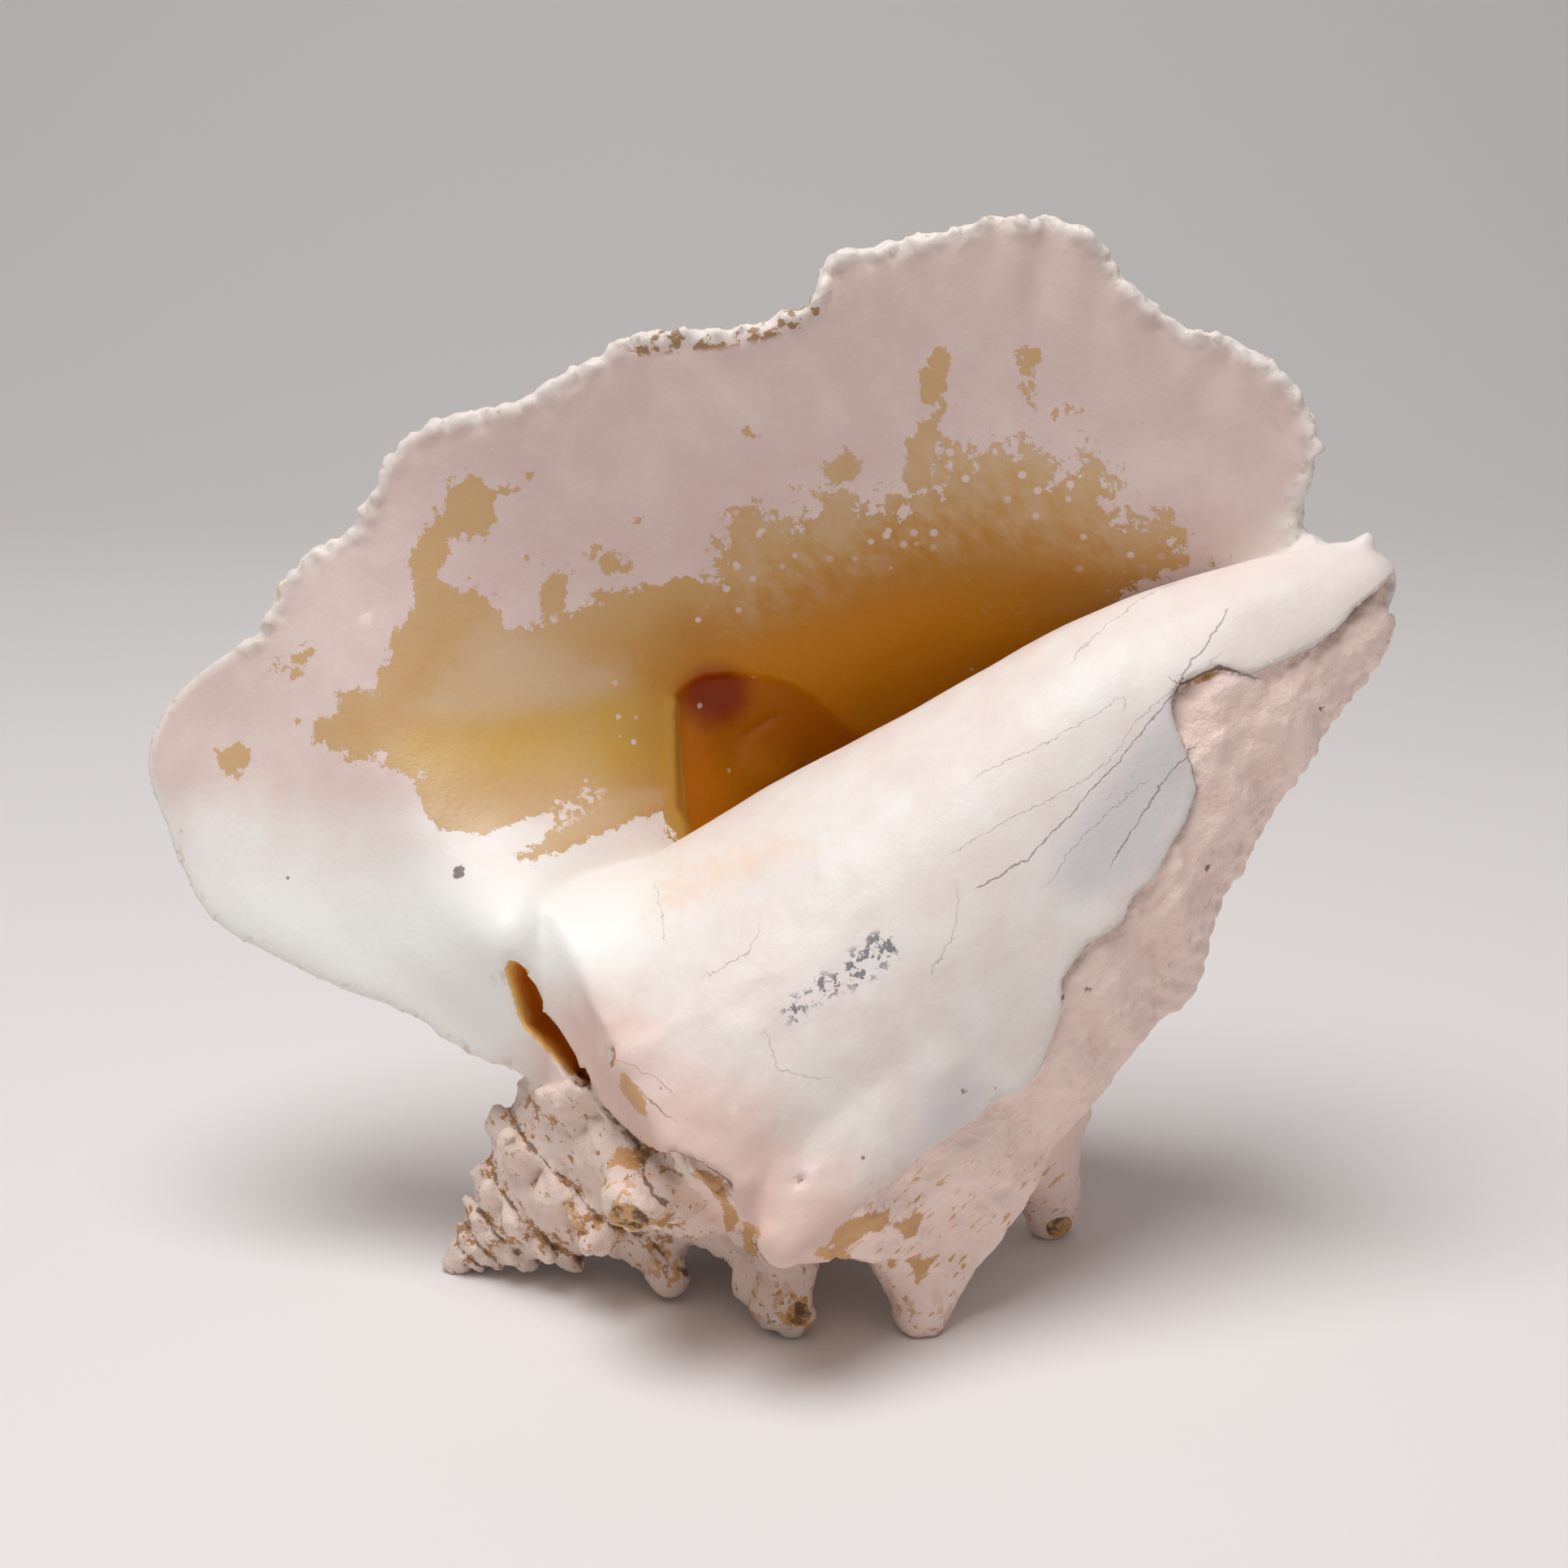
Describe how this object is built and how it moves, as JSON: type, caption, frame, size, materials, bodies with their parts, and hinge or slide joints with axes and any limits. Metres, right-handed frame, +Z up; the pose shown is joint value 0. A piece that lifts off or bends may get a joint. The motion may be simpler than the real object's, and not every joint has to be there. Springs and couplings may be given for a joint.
{
  "type": "conch shell",
  "caption": "Weathered queen conch shell with a broad flared lip, resting mouth to the front on its shoulder spines and spire.",
  "frame": {"origin": "centre of the bounding box in plan, on the surface that the shell rests on", "axes": "+Z up, -Y towards the viewer who looks into the mouth, +X towards the siphonal canal, -X towards the spire"},
  "size_m": [0.2654, 0.153, 0.2237],
  "materials": {
    "conch_shell": "satin"
  },
  "bodies": {
    "root": {"conch_shell": "conch_shell"}
  },
  "joints": []
}
